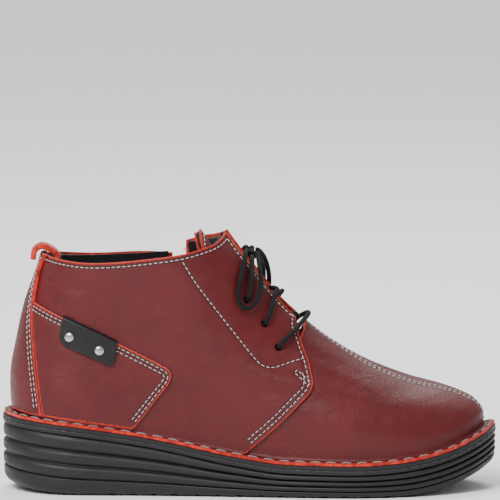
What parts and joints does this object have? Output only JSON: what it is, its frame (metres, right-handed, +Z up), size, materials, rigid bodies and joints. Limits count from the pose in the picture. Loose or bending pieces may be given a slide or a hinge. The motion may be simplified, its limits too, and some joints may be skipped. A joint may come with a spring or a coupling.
{
  "type": "laced ankle boot",
  "caption": "Leather ankle boot for walking, with laces, a side zip, a heel loop and a ribbed wedge sole.",
  "frame": {"origin": "on the floor, at the middle of the tread's flat land under the waist of the boot, on the boot's centre line", "axes": "+X to the toe, +Y to the inner side of the foot, +Z up"},
  "size_m": [0.28, 0.0999, 0.1441],
  "materials": {
    "leather": "smooth grain",
    "suede": "suede",
    "black_leather": "smooth",
    "textile": "napped",
    "rubber": "matt",
    "board": "matt",
    "foam": "matt",
    "steel": "plain",
    "nickel": "satin",
    "lace": "braided",
    "plastic": "satin"
  },
  "bodies": {
    "boot": {"vamp_outer": "leather", "vamp_inner": "leather", "quarter_outer": "leather", "quarter_inner": "leather", "back_strap": "leather", "heel_patch_outer": "leather", "heel_patch_inner": "leather", "pull_loop": "suede", "tab": "black_leather", "vamp_lining": "textile", "quarter_lining_outer": "textile", "quarter_lining_inner": "textile", "footbed_cover": "textile", "zip_tape_rear": "textile", "zip_tape_front": "textile", "outsole": "rubber", "wedge": "rubber", "midsole": "rubber", "insole_board": "board", "toe_puff": "board", "heel_counter": "board", "lace_backing_outer": "board", "lace_backing_inner": "board", "footbed": "foam", "collar_padding_outer": "foam", "collar_padding_inner": "foam", "shank": "steel", "rivet_rear": "nickel", "rivet_front": "nickel", "zip_teeth_rear": "nickel", "zip_teeth_front": "nickel", "zip_top_stop_rear": "nickel", "zip_top_stop_front": "nickel", "zip_bottom_stop": "nickel", "lace_bar": "lace", "lace_half_outer": "lace", "lace_half_inner": "lace", "lace_knot": "lace", "lace_loop_outer": "lace", "lace_loop_inner": "lace", "lace_end_front": "lace", "lace_end_rear": "lace", "lace_tip_front": "plastic", "lace_tip_rear": "plastic"},
    "tongue": {"tongue": "leather", "tongue_padding": "foam", "tongue_back": "leather"},
    "slider": {"zip_slider": "nickel"},
    "pull": {"zip_pull": "nickel"}
  },
  "joints": [
    {"name": "tongue_fold", "type": "hinge", "parent": "boot", "child": "tongue", "pos_m": [0.047, 0, 0.078], "axis": [0, 1, 0], "range_deg": [-14, 0]},
    {"name": "zip_slide", "type": "slide", "parent": "boot", "child": "slider", "axis": [0, 0.01, 1], "range_m": [-0.058, 0]},
    {"name": "zip_pull_flip", "type": "hinge", "parent": "slider", "child": "pull", "pos_m": [-0.04004, 0.03518, 0.1185], "axis": [1, 0, 0], "range_deg": [0, 130]}
  ]
}
